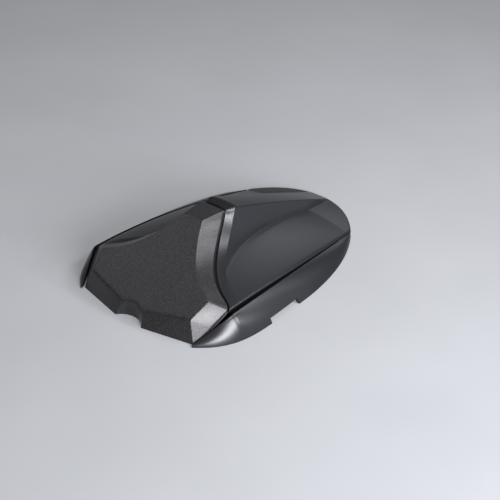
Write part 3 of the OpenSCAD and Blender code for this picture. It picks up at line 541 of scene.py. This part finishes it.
ridge_columns, wall_columns, shoulder_columns = 8, 20, 16
skin_rows = 60
shell_us = []
for low, high, steps in ((0, ridge_u, ridge_columns), (ridge_u, foot_u, wall_columns),
                         (foot_u, 1, shoulder_columns)):
    shell_us += [lerp(low, high, k / steps) for k in range(steps)]
shell_us = [-u for u in reversed(shell_us + [1])] + shell_us[1:] + [1]
bevel_ts = [0, 0.04, 0.12, 0.5, 0.9, 0.965, 1, 1.035]
shell_vs = [0, 0.007, 1 / skin_rows, 0.019]
shell_vs += [k / skin_rows for k in range(2, skin_rows)] + [0.994, 1]
border = [border_points(u) for u in shell_us]
border_rows = len(border[0])
# Rows and reach of the band across the ridge that is coloured black as painted shade.
ridge_unpainted_and_shade_rows = 14
ridge_unpainted_and_shade_reach = 0.99 * ridge_u
shell_outer = [[points[k] for points in border] for k in range(border_rows)]
shell_outer += [[bevel_point(u, t) for u in shell_us] for t in bevel_ts]
shell_outer += [[skin_point(u, v) for u in shell_us] for v in shell_vs]
last_row, last_col = len(shell_outer) - 1, len(shell_us) - 1
shell_inner = []
for i in range(last_row + 1):
    row = []
    for j in range(last_col + 1):
        p = shell_outer[i][j]
        if i == last_row or (j in (0, last_col) and i >= border_rows):
            row.append(Vector((p.x, p.y, max(0.0, p.z - shell_wall))))
        else:
            row.append(p - shell_wall * grid_normal(shell_outer, i, j))
    shell_inner.append(row)
shell_boss_x = 56.0
shell_boss_stations = (92.0, 159.98)
shell_boss_sink = 1.6
shell_bosses = [(side * shell_boss_x, s, shell_z(shell_boss_x, s) - shell_boss_sink, boss_bore)
                for side in (-1, 1) for s in shell_boss_stations]


def shell_unpainted_and_shade(i, j):
    """The sunk border and the bevel across the ridge are black: unpainted plastic, and painted shade of
    the gap beside the panel.
    """
    if i < border_rows:
        return 1.0
    return 1.0 if i < ridge_unpainted_and_shade_rows and abs(shell_us[j]) < ridge_unpainted_and_shade_reach else 0.0


upper_shell = moulded_piece("upper_shell_skin", shell_outer, shell_inner,
                            unpainted_and_shade=shell_unpainted_and_shade, bosses=shell_bosses)
upper_shell.data.materials.append(paint)
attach(upper_shell, "root")
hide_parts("upper_shell")

# Front panel: black moulding with a fine grain. Its V-shaped front wall has a round notch in the
# middle and turns over a soft crease into the sloping face. Bevels down both sides meet the shell's
# sunk border, on which the panel rests, and two screws hold it from below.
corner = (76.5, 17.0)
crease = (68.4, 22.2)
crease_nose_at = 8.0
crease_play = 0.8
notch_radius = 22.0
notch_at = 13.2
panel_boss_at = (58.0, 34.0)
panel_boss_sink = 4.5
corner_low = spot(corner[0], corner[1], 0)


def notch_line(x):
    """Station of the round notch's edge in the front wall."""
    return notch_at - notch_radius + math.sqrt(max(0.0, notch_radius ** 2 - x * x))


def foot_line(x):
    return max(corner[1] * abs(x) / corner[0], notch_line(x))


def crease_line(x):
    return max(lerp(crease_nose_at, crease[1], abs(x) / crease[0]), notch_line(x) + crease_play)


def mirrored(p):
    return Vector((-p.x, p.y, p.z))


# Points down the side bevel, and points across the lip (share of its width, share of its drop)
side_shares = [0.04, 0.12, 0.4, 0.7, 0.92, 0.975, 1]
lip_profile = [(0.04, 0.3), (0.1, 0.5), (0.25, 0.56), (0.8, 0.6), (0.93, 0.7), (1, 1)]
lip_width = 2.0
lip_drop = 1.6
lip_least = 0.15
lip_grow = 0.3
lip_close = 0.12
edge_run = panel_edge(1) - corner_low
lip_way = Vector((edge_run.y, -edge_run.x, 0)).normalized()


def lip_share(out):
    """Share of the lip's full width: it grows behind the corner and closes before the wing's tip."""
    return ease(out / lip_grow) * ease((1 - out) / lip_close)


def panel_row(face, beyond, reach, drop=0.0):
    """One row of the panel: the face, and beyond each edge the side bevel and the stepped lip."""
    right = [face[-1].lerp(beyond, t) for t in side_shares]
    right += [beyond + a * reach - Vector((0, 0, b * drop)) for a, b in lip_profile]
    left = [mirrored(p) for p in reversed(right)]
    return left + face + right


def side_row(face, out):
    """A row between the front corners and the wing tips."""
    beyond = corner_low.lerp(panel_edge(1), out)
    drop = min(lip_drop * lip_share(out), beyond.z / 2)
    return panel_row(face, beyond, lerp(lip_least, lip_width, lip_share(out)) * lip_way, drop)


def wall_point(f, t):
    """A point of the front wall, from its foot (t = 0) to the crease (t = 1)."""
    low = spot(f * corner[0], foot_line(f * corner[0]), 0)
    top_s = crease_line(f * crease[0])
    return low.lerp(spot(f * crease[0], top_s, face_z(top_s)), t)


# Columns across the face, and the rows up it. A wall row is its share of the wall's height, with
# the share of the way from the front corner to the wing's tip at which it ends.
face_shares = [0, 0.025, 0.05, 0.075, 0.1, 0.125, 0.15, 0.175, 0.2, 0.22, 0.235, 0.25, 0.27,
               0.3, 0.34, 0.4, 0.48, 0.56, 0.64, 0.72, 0.8, 0.87, 0.93, 0.97, 1]
wall_rows = ((0, 0.06), (0.03, 0.07), (0.25, 0.15), (0.5, 0.26), (0.75, 0.38), (0.9, 0.45),
             (0.96, 0.48))
wing_start = 0.5
wing_rows = (0.04, 0.12, 0.3, 0.5, 0.7, 0.84, 0.94)
edge_rows = 30
edge_row_power = 1.1
top_rows = (0.05, 0.25, 0.5, 0.75, 0.95, 1)
face_shares = [-f for f in reversed(face_shares[1:])] + face_shares
panel_rows = []
for t, out in wall_rows:
    panel_rows.append(side_row([wall_point(f, t) for f in face_shares], out))
for t in wing_rows:
    row = []
    for f in face_shares:
        s = lerp(crease_line(f * crease[0]), face_wing[1], t)
        row.append(spot(f * lerp(crease[0], face_wing[0], t), s, face_z(s)))
    panel_rows.append(side_row(row, lerp(wing_start, 1, t)))
for k in range(edge_rows + 1):
    q = (1 - k / edge_rows) ** edge_row_power
    at = face_edge(q)
    edge = panel_edge(q)
    row = [Vector((f * at.x, at.y, at.z)) for f in face_shares]
    panel_rows.append(panel_row(row, edge, lip_least * (edge - at).normalized()))
for t in top_rows:
    x = lerp(face_top[0], top_rear[0], t)
    s = lerp(face_top[1], top_rear[1], t)
    row = [spot(f * x, s, panel_height - top_fall * t) for f in face_shares]
    edge = panel_edge(0).lerp(top_corner, t)
    panel_rows.append(panel_row(row, edge, Vector((lip_least, 0, 0))))
panel_back = []
for i, row in enumerate(panel_rows):
    back = []
    for j, p in enumerate(row):
        n = grid_normal(panel_rows, i, j)
        if i == 0:
            n = Vector((n.x, n.y, 0)).normalized()
        q = p - panel_wall * n
        back.append(Vector((q.x, q.y, max(q.z, 0.0))))
    panel_back.append(back)
panel_boss_top = face_z(panel_boss_at[1]) - panel_boss_sink
panel_bosses = [(side * panel_boss_at[0], panel_boss_at[1], panel_boss_top, boss_bore)
                for side in (-1, 1)]
front_panel = moulded_piece("front_panel_skin", panel_rows, panel_back, bosses=panel_bosses)

grain_dark = (0.003, 0.0029, 0.0033)
grain_light = (0.025, 0.0245, 0.0262)
grained, nodes, links, shader = new_finish("grained_black_plastic", 0.36, 0.0, 0.52)
place = nodes.new("ShaderNodeTexCoord")
pebbles = nodes.new("ShaderNodeTexVoronoi")
pebbles.inputs["Scale"].default_value = 950.0
links.new(place.outputs["Object"], pebbles.inputs["Vector"])
fine = noise(nodes, links, scale=850)
wear = noise(nodes, links, scale=30)
tint(nodes, links, shader, fine, grain_dark, grain_light, 0.38, 0.62)
sheen(nodes, links, shader, wear, 0.33, 0.39)
grain = bump(nodes, links, shader, pebbles.outputs["Distance"], 0.0001, 0.55)
bump(nodes, links, shader, fine, 0.00005, 0.4, grain)
front_panel.data.materials.append(grained)
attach(front_panel, "root")
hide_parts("front_panel")

# Side skirts: painted mouldings under a dark groove that narrows to the rear. Each has a sharp
# front tip, a ledge that runs on under the shell, a notch in its lower edge and two screw bosses.
tip_z = 2.2
tip_wall = 0.5
tip_fade = 28.0
lean_most = 0.6
inside_least = 0.1
inside_step = 0.05
groove_widths = (5.0, 1.0)
groove_depths = (5.0, 1.6)
groove_step = 2.0
groove_foot = (0.25, 0.92)
groove_lip = (0.15, 0.25)
shelf_most = 0.4
shelf_clear = 1.1
knee_power = 1.1
skirt_bow = 2.4
bow_out = 0.75
bow_up = 0.65
bow_run = 12.0
low_out = 0.8
ledge_in = 0.6
ledge_width = 9.0
ledge_start = 12.0
ledge_close = 20.0
ledge_end_at = 262.0
skirt_end_at = 279.0
notch_span = (94.0, 138.0)
notch_height = 5.5
fit_gap = 0.35
skirt_boss_stations = (84.0, 172.0)
skirt_boss_in = 5.0
skirt_boss_sink = 0.9
skirt_boss_bore = 4.4
knee_lead = 2.0
tip_in = 1.0
groove_share = 1 / 3
groove_points = 3
knee_at = wing[1] - knee_lead


def skirt_top_behind(s):
    """The skirt's upper edge behind the wing's tip, a groove's width outside the shell."""
    x = shoulder_x(s) + lerp(groove_widths[0], groove_widths[1], along(s))
    return Vector((x, s, max(tip_z, shoulder_z(s) - groove_step * (1 - along(s)))))


def skirt_top(s):
    """The skirt's upper edge. In front of the knee it runs down to the sharp tip."""
    if s >= knee_at:
        return skirt_top_behind(s)
    knee = skirt_top_behind(knee_at)
    t = (s - skirt_tip[1]) / (knee_at - skirt_tip[1])
    return Vector((lerp(skirt_tip[0] - tip_in, knee.x, t), s, lerp(tip_z, knee.z, t ** knee_power)))


def ledge_x(s):
    """The ledge's inner edge: beside the panel's lip in front, then under the shell's edge."""
    if s < wing[1]:
        t = (s - corner[1]) / (wing[1] - corner[1])
        beside = lerp(corner[0], wing[0], t) + lip_width * lip_share(t) / lip_way.x + 2 * fit_gap
        return max(corner[0] + 2 * fit_gap, beside)
    closing = ease((s - ledge_end_at + ledge_close) / ledge_close)
    under = lerp(shoulder_x(s) - ledge_width, shoulder_x(s) + groove_share * groove_widths[1], closing)
    return lerp(wing[0] + 2 * fit_gap, under, ease((s - wing[1]) / ledge_start))


def ledge_depth(s):
    return min(lerp(groove_depths[0], groove_depths[1], along(s)), skirt_top(s).z * shelf_most)


def shelf_z(x, s):
    """Height of the ledge, kept clear of the shell's underside."""
    shelf = skirt_top(s).z - ledge_depth(s)
    if x >= edge_x(s):
        return shelf
    return min(shelf, shell_z(min(x, edge_x(s)), s) - shell_wall * shelf_clear - fit_gap)


# Points down the outer face, from its top edge to the rim
skirt_shares = [0, 0.03, 0.08, 0.16, 0.26, 0.38, 0.5, 0.62, 0.74, 0.85, 0.93, 0.98, 1]


def skirt_row(s):
    """One row of the skirt: the ledge, the groove's wall and the bowed outer face down to the rim."""
    top = skirt_top(s)
    low_x = max(rim_x(s), top.x + low_out)
    in_x = min(ledge_x(s), top.x - ledge_in)
    mid_x = (in_x + top.x) / 2
    depth = ledge_depth(s)
    row = [spot(in_x, s, shelf_z(in_x, s)), spot(mid_x, s, shelf_z(mid_x, s)),
           spot(top.x - groove_foot[0], s, top.z - groove_foot[1] * depth),
           spot(top.x - groove_lip[0], s, top.z - groove_lip[1] * depth)]
    for w in skirt_shares:
        bow = skirt_bow * 4 * w * (1 - w) * clamp01((low_x - top.x) / bow_run)
        row.append(spot(lerp(top.x, low_x, w) + bow * bow_out, s, top.z * (1 - w) + bow * bow_up))
    return row


# Rows along the skirt, closer together at its ends
station_steps = 76
station_shares = [0, 0.006, 0.015]
station_shares += [0.03 + 0.965 * k / station_steps for k in range(station_steps + 1)]
stations = [lerp(skirt_tip[1], skirt_end_at, t) for t in station_shares] + [skirt_end_at]
skirt_rows = [skirt_row(s) for s in stations]
skirt_back = []
for i, row in enumerate(skirt_rows):
    s = stations[i]
    thick = lerp(tip_wall, shell_wall, ease(min(s - skirt_tip[1], skirt_end_at - s) / tip_fade))
    back = []
    for j, p in enumerate(row):
        n = grid_normal(skirt_rows, i, j)
        if j == len(row) - 1:
            back.append(Vector((p.x - thick / max(math.hypot(n.x, n.y), lean_most), p.y, 0)))
        else:
            q = p - thick * n
            least = inside_least + inside_step * (len(row) - 1 - j)
            back.append(Vector((q.x, p.y, max(q.z, least))))
    skirt_back.append(back)


def cut_notch(piece):
    """Cuts the notch out of the skirt's lower edge."""
    mesh = bmesh.new()
    bmesh.ops.create_cube(mesh, size=1.0)
    side = math.copysign(1, piece.data.vertices[0].co.x)
    below = 1.0
    for v in mesh.verts:
        x = side * rim_widest + v.co.x * rim_widest
        s = lerp(notch_span[0], notch_span[1], v.co.y + 0.5)
        v.co = spot(x, s, lerp(-below, notch_height, v.co.z + 0.5)) / 1000
    data = bpy.data.meshes.new("notch_tool")
    mesh.to_mesh(data)
    mesh.free()
    tool = bpy.data.objects.new("notch_tool", data)
    bpy.context.collection.objects.link(tool)
    cut = piece.modifiers.new("notch", "BOOLEAN")
    cut.operation = "DIFFERENCE"
    cut.solver = "EXACT"
    cut.object = tool
    bpy.context.view_layer.update()
    seen = piece.evaluated_get(bpy.context.evaluated_depsgraph_get())
    baked = bpy.data.meshes.new_from_object(seen)
    piece.modifiers.clear()
    old = piece.data
    piece.data = baked
    bpy.data.meshes.remove(old)
    bpy.data.objects.remove(tool)
    bpy.data.meshes.remove(data)
    baked.set_sharp_from_angle(angle=math.radians(40))


def skirt_unpainted_and_shade(i, j):
    """The ledge at the bottom of the groove is black: unpainted plastic, and painted shade of the deep
    groove.
    """
    return 1.0 if j < groove_points else 0.0


for side, flip in (("left", 1), ("right", -1)):
    outer = [[Vector((flip * p.x, p.y, p.z)) for p in row] for row in skirt_rows]
    inner = [[Vector((flip * p.x, p.y, p.z)) for p in row] for row in skirt_back]
    bosses = []
    for s in skirt_boss_stations:
        x = shoulder_x(s) - skirt_boss_in
        bosses.append((flip * x, s, shelf_z(x, s) - skirt_boss_sink, skirt_boss_bore))
    skirt = moulded_piece(side + "_skirt_skin", outer, inner, unpainted_and_shade=skirt_unpainted_and_shade, bosses=bosses)
    cut_notch(skirt)
    skirt.data.materials.clear()
    skirt.data.materials.append(paint)
    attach(skirt, "root")
    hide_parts(side + "_side_skirt")

# Base plate: one black moulding with ribs below, a raised pocket for the striker and the holes for
# every screw. It carries all the other pieces, and its texture is that of a plain polished mould.
plate_dark = (0.013, 0.013, 0.0135)
plate_light = (0.022, 0.022, 0.023)
plain_black, nodes, links, shader = new_finish("plain_black_plastic", 0.5)
plate_tone = noise(nodes, links, scale=60, detail=4)
plate_flow = noise(nodes, links, scale=25, stretch=(1, 4, 1))
tint(nodes, links, shader, plate_tone, plate_dark, plate_light)
sheen(nodes, links, shader, plate_flow, 0.42, 0.58)
bump(nodes, links, shader, noise(nodes, links, scale=1200, detail=2), 0.00005, 0.4)


def dress(node, finish):
    """Gives a piece its finish and leaves its shape as it is."""
    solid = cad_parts[node]
    solid.data.materials.clear()
    solid.data.materials.append(finish)


dress("base_plate", plain_black)

# Latch striker: a pressed bracket, a bent rod welded to it, and the bolts and nuts that hold it under
# the pocket's roof. All of it is zinc plated, with a faint cloudy sheen.
zinc_dark = (0.42, 0.42, 0.40)
zinc_light = (0.60, 0.60, 0.57)
plated, nodes, links, shader = new_finish("zinc_plated_steel", 0.35, 1.0)
zinc_clouds = noise(nodes, links, scale=130, detail=4)
rolling = noise(nodes, links, scale=900, detail=2, stretch=(1, 6, 1))
tint(nodes, links, shader, zinc_clouds, zinc_dark, zinc_light)
sheen(nodes, links, shader, zinc_clouds, 0.28, 0.45)
bump(nodes, links, shader, rolling, 0.00003, 0.4)
for node in ("striker_bracket", "striker_loop", "striker_bolts", "striker_nuts"):
    dress(node, plated)

# Rear tongue: a strip of the same plated steel with one low step in it. It is screwed under the
# plate's rear end, and its free end slides under a cross bar of the frame.
dress("rear_tongue", plated)

# Screws: ten for the mouldings and two for the tongue, of black coated steel with pan heads.
# They are driven up from below, and the coating is a little uneven.
coat_dark = (0.025, 0.025, 0.027)
coat_light = (0.05, 0.05, 0.052)
coated, nodes, links, shader = new_finish("black_coated_steel", 0.4, 0.6)
coat_tone = noise(nodes, links, scale=700)
coat_wear = noise(nodes, links, scale=300, detail=2)
tint(nodes, links, shader, coat_tone, coat_dark, coat_light)
sheen(nodes, links, shader, coat_wear, 0.33, 0.48)
bump(nodes, links, shader, noise(nodes, links, scale=2500, detail=2), 0.00002, 0.4)
for node in ("tongue_screws", "shell_screws", "panel_screws",
             "left_skirt_screws", "right_skirt_screws"):
    dress(node, coated)

# Dampers and edge strips: black rubber buttons pushed into holes of the plate, and soft black
# strips glued inside the skirts' lower rims. They keep the cowl quiet and the paint under it whole.
rubber_dark = (0.011, 0.011, 0.011)
rubber_light = (0.022, 0.021, 0.021)
rubber, nodes, links, shader = new_finish("black_rubber", 0.75, 0.0, 0.35)
rubber_tone = noise(nodes, links, scale=220, detail=4)
rubber_wear = noise(nodes, links, scale=90)
tint(nodes, links, shader, rubber_tone, rubber_dark, rubber_light)
sheen(nodes, links, shader, rubber_wear, 0.68, 0.85)
bump(nodes, links, shader, noise(nodes, links, scale=1500), 0.00006, 0.6)
for node in ("front_left_damper", "front_right_damper", "rear_left_damper", "rear_right_damper",
             "left_edge_strip", "right_edge_strip"):
    dress(node, rubber)

# Studio: the camera at the photograph's angle, a pale floor, a pale world and six soft lamps.
# Floor and world look pale to the camera and in mirrored rays, and scatter less light than that.
camera_data = bpy.data.cameras.new("camera")
camera_data.lens = 82.8
camera_data.sensor_width = 36
camera = bpy.data.objects.new("camera", camera_data)
bpy.context.collection.objects.link(camera)
look_at = Vector((0.0395, -0.015992, 0.030))
azimuth, elevation, distance = math.radians(39.9), math.radians(32.93), 1.2105
level = math.cos(elevation)
view_way = Vector((math.sin(azimuth) * level, -math.cos(azimuth) * level, math.sin(elevation)))
camera.location = look_at + distance * view_way
camera.rotation_euler = (look_at - camera.location).to_track_quat("-Z", "Y").to_euler()
bpy.context.scene.camera = camera


def seen_share(nodes, links):
    """1 for rays from the camera, mirrored and passing rays, and 0 for what a surface scatters."""
    rays = nodes.new("ShaderNodeLightPath")
    share = rays.outputs["Is Camera Ray"]
    for kind in ("Is Glossy Ray", "Is Transmission Ray"):
        larger = nodes.new("ShaderNodeMath")
        larger.operation = "MAXIMUM"
        links.new(share, larger.inputs[0])
        links.new(rays.outputs[kind], larger.inputs[1])
        share = larger.outputs[0]
    return share


floor_reach = 6.0
floor_corners = [(x * floor_reach, y * floor_reach, 0) for x, y in ((-1, -1), (1, -1), (1, 1), (-1, 1))]
floor_data = bpy.data.meshes.new("floor")
floor_data.from_pydata(floor_corners, [], [(0, 1, 2, 3)])
floor = bpy.data.objects.new("floor", floor_data)
bpy.context.collection.objects.link(floor)
floor_dark = (0.29, 0.298, 0.306)
floor_light = (0.315, 0.323, 0.331)
floor_finish, nodes, links, shader = new_finish("pale_floor", 1.0, 0.0, 0.0)
floor_tone = noise(nodes, links, scale=6, detail=2)
tint(nodes, links, shader, floor_tone, floor_dark, floor_light)
shader.inputs["Emission Color"].default_value = (0.95, 0.97, 1, 1)
shader.inputs["Emission Strength"].default_value = 0.14
floor.data.materials.append(floor_finish)
scattered = nodes.new("ShaderNodeBsdfDiffuse")
scattered.inputs["Color"].default_value = (0.10, 0.10, 0.105, 1)
seen_by = nodes.new("ShaderNodeMixShader")
links.new(seen_share(nodes, links), seen_by.inputs[0])
links.new(scattered.outputs[0], seen_by.inputs[1])
links.new(shader.outputs[0], seen_by.inputs[2])
links.new(seen_by.outputs[0], nodes["Material Output"].inputs["Surface"])

world = bpy.data.worlds.new("studio")
bpy.context.scene.world = world
world.use_nodes = True
background = world.node_tree.nodes["Background"]
background.inputs["Color"].default_value = (0.80, 0.80, 0.82, 1)
nodes, links = world.node_tree.nodes, world.node_tree.links
scattered_strength, seen_strength = 0.15, 0.28
strength = number_range(nodes, links, seen_share(nodes, links), scattered_strength, seen_strength, 0, 1)
links.new(strength, background.inputs["Strength"])
bpy.context.scene.view_settings.view_transform = "Standard"


def soft_lamp(name, towards, away, size, power, colour=(0.95, 0.95, 1)):
    """A soft lamp that stands away from the cowl in a direction and faces it."""
    lamp_data = bpy.data.lights.new(name, "AREA")
    lamp_data.shape = "RECTANGLE"
    lamp_data.size, lamp_data.size_y = size
    lamp_data.energy = power
    lamp_data.color = colour
    lamp_data.spread = math.radians(120)
    lamp = bpy.data.objects.new(name, lamp_data)
    bpy.context.collection.objects.link(lamp)
    lamp.location = Vector(towards).normalized() * away
    lamp.rotation_euler = (-lamp.location).to_track_quat("-Z", "Y").to_euler()


lamp_far = 1.3
top_lamp_far = 1.8
soft_lamp("side_lamp", (0.864, -0.385, 0.326), lamp_far, (0.95, 0.42), 15)
soft_lamp("edge_lamp", (0.885, 0.254, 0.39), lamp_far, (0.16, 0.2), 2.7)
soft_lamp("rear_lamp", (0.572, 0.415, 0.707), lamp_far, (0.55, 0.24), 3.2)
soft_lamp("back_lamp", (-0.262, 0.807, 0.53), lamp_far, (0.5, 0.6), 0.46, (0.85, 0.92, 1))
soft_lamp("face_lamp", (-0.641, -0.299, 0.707), lamp_far, (0.4, 0.4), 0.24)
soft_lamp("top_lamp", (-0.15, -0.05, 0.95), top_lamp_far, (1.4, 1.4), 3)
